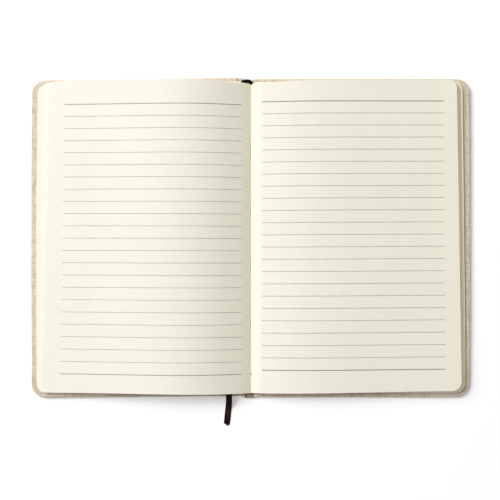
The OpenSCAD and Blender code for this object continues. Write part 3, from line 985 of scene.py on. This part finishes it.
def stitches():
    """The thread along the middle fold, up and down through it at each stitch."""
    verts, faces = [], []
    z = GUTTER_Z - 0.35
    ends = [(0, SPINE_Z), (0.02, z - 0.6), (0.25, z - 0.15), (0.8, z)]
    for k in range(STITCHES):
        y0 = STITCH_Y + STITCH_PITCH * k
        path = [(0, y0 + d, height) for d, height in ends]
        path += [(0.05 * math.sin(q * 1.7 + k), y0 + 0.8 + (STITCH - 1.6) * q / 14,
                  z + 0.03 * math.sin(q * 2.1)) for q in range(1, 14)]
        path += [(0, y0 + STITCH - d, height) for d, height in reversed(ends)]
        v, f = tube(path, STITCH_R)
        faces += [tuple(len(verts) + q for q in face) for face in f]
        verts += v
    o = make("sewing_stitches", verts, faces, [THREAD], angle=60)
    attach(o, "spine")
    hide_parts("sewing_thread")


def thread_end():
    """The bit of thread that lies on the left leaves in the gutter."""
    z = GUTTER_Z
    path = [(-1.4, -88.4, z + 0.5), (-1.0, -88.2, z + 0.8), (-0.55, -88.25, z + 0.95),
            (-0.15, -88.7, z + 0.8), (-0.15, -89.3, z + 0.6), (-0.5, -89.5, z + 0.3)]
    v, f = tube(path, KNOT_R)
    o = make("thread_end", v, f, [THREAD], angle=60)
    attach(o, "front_cover")


stitches()
thread_end()


# Ribbon marker

# The route is the CAD cord's: x, y, z in mm, the roll of the band in degrees and, at the head, how
# far its width leans along Y
HEAD_Y = PAGE_H / 2 + PAGE_Y
RIB_W, RIB_T = 4.1, 0.34
RUN_Z, REST_Z = LEAF_Z + 0.28, 0.2
RIB_HEAD = [
    (-0.9, -11, 0.25, 0, 0), (-0.8, -6.5, 0.25, 0, 0), (-0.7, -2.6, 0.25, 0, 0.1),
    (-0.85, -0.5, 0.5, 0, 0.55), (-1.2, 0.7, 1.1, 2, 0.62), (-2.3, 1.0, 1.9, 6, -0.05),
    (-3.3, 0.4, 2.6, 12, -0.42), (-4.1, -0.55, 2.93, 18, -0.25)]
RIB_RUN = [
    (0.99, 1.03, 20), (0.89, 0.85, 19), (0.77, 0.62, 17), (0.65, 0.4, 16), (0.54, 0.2, 14),
    (0.42, 0.12, 10), (0.3, 0.06, 6), (0.2, 0.03, 3), (0.08, 0, 0), (-0.04, 0, 0), (-0.16, 0, 0),
    (-0.27, 0, 0), (-0.39, 0, 0), (-0.51, 0, 0), (-0.62, 0, 0), (-0.74, 0, 0), (-0.86, 0, 0),
    (-0.965, 0, 0), (-1, 0, 0)]
RIB_FALL = [
    (-14.3, -2.5, 0.99, 0), (-14.3, -0.5, 0.945, 0), (-14.3, 1.4, 0.815, 0), (-14.4, 3.2, 0.575, 0),
    (-14.5, 4.9, 0.315, 0), (-14.65, 6.7, 0.11, 0), (-14.95, 9, 0.02, 0), (-15.4, 13.5, 0, 0),
    (-15.95, 18.2, 0, 0)]
ROUTE = ([(x, HEAD_Y + y, SPINE_TURN_Z + z, r, w) for x, y, z, r, w in RIB_HEAD]
         + [(-9.4 + 5.1 * s, PAGE_Y + PAGE_H / 2 * s, RUN_Z - z, r) for s, z, r in RIB_RUN]
         + [(x, -COVER_H / 2 - y, REST_Z + (RUN_Z - REST_Z) * z, r) for x, y, z, r in RIB_FALL])


def smooth_route(points, steps):
    """Catmull-Rom curve through the points."""
    p = np.array(points, float)
    out = []
    for k in range(len(p) - 1):
        a, b, c, d = p[max(k - 1, 0)], p[k], p[k + 1], p[min(k + 2, len(p) - 1)]
        for q in range(steps):
            t = q / steps
            out.append(0.5 * ((2 * b) + (c - a) * t + (2 * a - 5 * b + 4 * c - d) * t * t
                              + (3 * b - a - 3 * c + d) * t ** 3))
    out.append(p[-1])
    return np.array(out)


def width_dirs(route, pts):
    """Direction across the band, mostly square to its run, and along it at each station."""
    out = []
    last = len(pts) - 1
    for i in range(last + 1):
        t = pts[min(i + 1, last)] - pts[max(i - 1, 0)]
        t /= np.linalg.norm(t)
        roll = math.radians(route[i, 3])
        w = np.array([-math.cos(roll), route[i, 4], math.sin(roll)])
        w = w / np.linalg.norm(w)
        s = w - 0.75 * (w @ t) * t
        out.append((s / np.linalg.norm(s), t))
    return out


def cut_end(q):
    """How far the frayed end reaches past the last station, q being -0.5 to 0.5 across the band."""
    cut = 0.35 - 1.3 * max(0.0, q) ** 2 * 4 * 0.9 - 0.5 * max(0.0, -q - 0.3) * 5
    return cut + (0.4 * bell(q, -0.12, 0.16) - 0.45 * bell(q, 0.2, 0.07))


def ribbon_points(route):
    """Points of the band, on two faces with a bead at each edge, their place on the flat ribbon,
    how much of the painted maroon highlight they show, and the number of points across a face."""
    across = (-0.5, -0.485, -0.46, -0.40, -0.28, -0.14, 0, 0.14, 0.28, 0.40, 0.46, 0.485, 0.5)
    thick = (0.0, 0.42, 0.52, 0.40, 0.34, 0.34, 0.34, 0.34, 0.34, 0.40, 0.52, 0.42, 0.0)
    pts = route[:, :3]
    verts, rest, sheen = [], [], []
    run = 0.0
    for i, (p, (s, t)) in enumerate(zip(pts, width_dirs(route, pts))):
        if i:
            run += float(np.linalg.norm(p - pts[i - 1]))
        n = np.cross(s, t)
        n /= np.linalg.norm(n)
        free = float(smooth((-p[1] - 104.0) / 6.0))
        # where along the tail the painted maroon highlight shows
        lit = float(smooth((-p[1] - 107.0) / 5.0) * smooth((124.5 - -p[1]) / 7.0))
        for face in (1, -1):
            for q, h in zip(across, thick):
                bow = 0.22 * free * (1 - (2 * q) ** 2)
                end = cut_end(q) if i == len(pts) - 1 else 0.0
                verts.append(p + RIB_W * q * s + (face * RIB_T * h + bow) * n + end * t)
                rest.append((q * RIB_W, run, 0))
                sheen.append(lit)
    return verts, rest, sheen, len(across)


def ribbon_faces(last, k):
    """Faces of a band with k points on each of its two faces at every station up to last."""
    ring = 2 * k
    faces = []
    for i in range(last):
        a = i * ring
        for j in range(k - 1):
            p, q = a + j, a + k + j
            faces.append((p, p + ring, p + 1 + ring, p + 1))
            faces.append((q, q + 1, q + 1 + ring, q + ring))
        faces.append((a, a + k, a + k + ring, a + ring))
        a, b = a + k - 1, a + 2 * k - 1
        faces.append((a, a + ring, b + ring, b))
    for i in (0, last):
        for j in range(k - 1):
            a, b = i * ring + j, i * ring + j + 1
            c, d = a + k, b + k
            faces.append((a, c, d, b) if i else (a, b, d, c))
    return faces


def ribbon():
    """The ribbon marker, which is also the part's cord."""
    route = smooth_route([(*p, 0.0) if len(p) == 4 else p for p in ROUTE], 4)
    pts = route[:, :3]
    verts, rest, sheen, k = ribbon_points(route)
    faces = ribbon_faces(len(pts) - 1, k)
    o = make("ribbon_band", verts, faces, [RIBBON], {"ribbon_mm": rest, "sheen": sheen}, angle=50)
    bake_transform(o)
    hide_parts("ribbon_marker")


ribbon()


# Floor, light and camera
FLOOR_HALF, FLOOR_Z = 6.0, -0.00003
FLOOR_ALBEDO, FLOOR_GLOW = 0.88, 0.225
# Over this stretch, in m from the middle, the glow grows by FAR_GLOW, so the floor ends in white
GLOW_NEAR, GLOW_FAR, FAR_GLOW = 0.25, 0.7, 0.6
AMBIENT = 0.315
KEY_POWER, KEY_SIZE, KEY_DIST = 91.5, 1.9, 2.8
KEY_ELEV, KEY_AZ = 39.5, 32.0
KEY_COLOUR = (1.0, 0.995, 0.985)
# The camera of the photo: its place in m, and its focal length and width in pixels
CAMERA_AT = (-0.0005, -0.0076, 0.575)
FOCAL_PX, PICTURE_PX, SENSOR_MM = 866.6, 500, 36.0


def light_path(t):
    """1 for rays from the camera and for what gloss and glass show."""
    path = t.nodes.new("ShaderNodeLightPath")
    seen = path.outputs["Is Camera Ray"]
    for ray in ("Is Glossy Ray", "Is Transmission Ray"):
        either = t.nodes.new("ShaderNodeMath")
        either.operation = "MAXIMUM"
        t.links.new(seen, either.inputs[0])
        t.links.new(path.outputs[ray], either.inputs[1])
        seen = either.outputs[0]
    return seen


def floor_white():
    """White floor that glows a little towards the camera, more so far from the object."""
    n = Nodes("floor_white")
    diffuse = n.node("ShaderNodeBsdfDiffuse")
    diffuse.inputs[0].default_value = (FLOOR_ALBEDO, FLOOR_ALBEDO, FLOOR_ALBEDO * 1.01, 1)
    far = n.node("ShaderNodeVectorMath", {0: n.object_co()}, operation="LENGTH")
    spread = n.node("ShaderNodeMapRange", {
        "Value": far.outputs["Value"], "From Min": GLOW_NEAR, "From Max": GLOW_FAR,
        "To Min": FLOOR_GLOW, "To Max": FLOOR_GLOW + FAR_GLOW}, interpolation_type="SMOOTHSTEP")
    glow = n.node("ShaderNodeEmission", {
        "Color": (1, 1, 1, 1), "Strength": n.math("MULTIPLY", light_path(n.t), spread.outputs["Result"])})
    add = n.node("ShaderNodeAddShader", {0: diffuse.outputs[0], 1: glow.outputs[0]})
    n.t.nodes.remove(n.bsdf)
    n.link(add.outputs[0], n.out.inputs["Surface"])
    return n.mat


def floor():
    """The table, just below the case."""
    me = bpy.data.meshes.new("floor")
    r, z = FLOOR_HALF, FLOOR_Z
    me.from_pydata([(-r, -r, z), (r, -r, z), (r, r, z), (-r, r, z)], [], [(0, 1, 2, 3)])
    me.materials.append(floor_white())
    o = bpy.data.objects.new("floor", me)
    bpy.context.scene.collection.objects.link(o)


def surroundings():
    """Even white light from all round, seen as plain white."""
    world = bpy.data.worlds.new("studio")
    bpy.context.scene.world = world
    world.use_nodes = True
    t = world.node_tree
    back = t.nodes["Background"]
    back.inputs["Color"].default_value = (1.0, 1.0, 1.0, 1)
    strength = t.nodes.new("ShaderNodeMix")
    strength.inputs[2].default_value = AMBIENT
    strength.inputs[3].default_value = 1.0
    t.links.new(light_path(t), strength.inputs[0])
    t.links.new(strength.outputs[0], back.inputs["Strength"])


def key_light():
    """Square light at the upper left; its azimuth is measured from -X towards +Y, in degrees."""
    lamp = bpy.data.lights.new("key", "AREA")
    lamp.shape = "SQUARE"
    lamp.size = KEY_SIZE
    lamp.energy = KEY_POWER
    lamp.color = KEY_COLOUR
    o = bpy.data.objects.new("key", lamp)
    a, e = math.radians(KEY_AZ), math.radians(KEY_ELEV)
    way = Vector((-math.cos(a) * math.cos(e), math.sin(a) * math.cos(e), math.sin(e)))
    o.location = way * KEY_DIST
    o.rotation_euler = (-way).to_track_quat("-Z", "Y").to_euler()
    bpy.context.scene.collection.objects.link(o)


def camera():
    """Camera over the gutter that looks straight down."""
    data = bpy.data.cameras.new("camera")
    data.sensor_width = SENSOR_MM
    data.lens = FOCAL_PX / PICTURE_PX * SENSOR_MM
    data.clip_start, data.clip_end = 0.01, 20.0
    o = bpy.data.objects.new("camera", data)
    o.location = CAMERA_AT
    bpy.context.scene.collection.objects.link(o)
    bpy.context.scene.camera = o


floor()
surroundings()
key_light()
camera()
bpy.context.scene.view_settings.view_transform = "Standard"

bpy.context.view_layer.update()
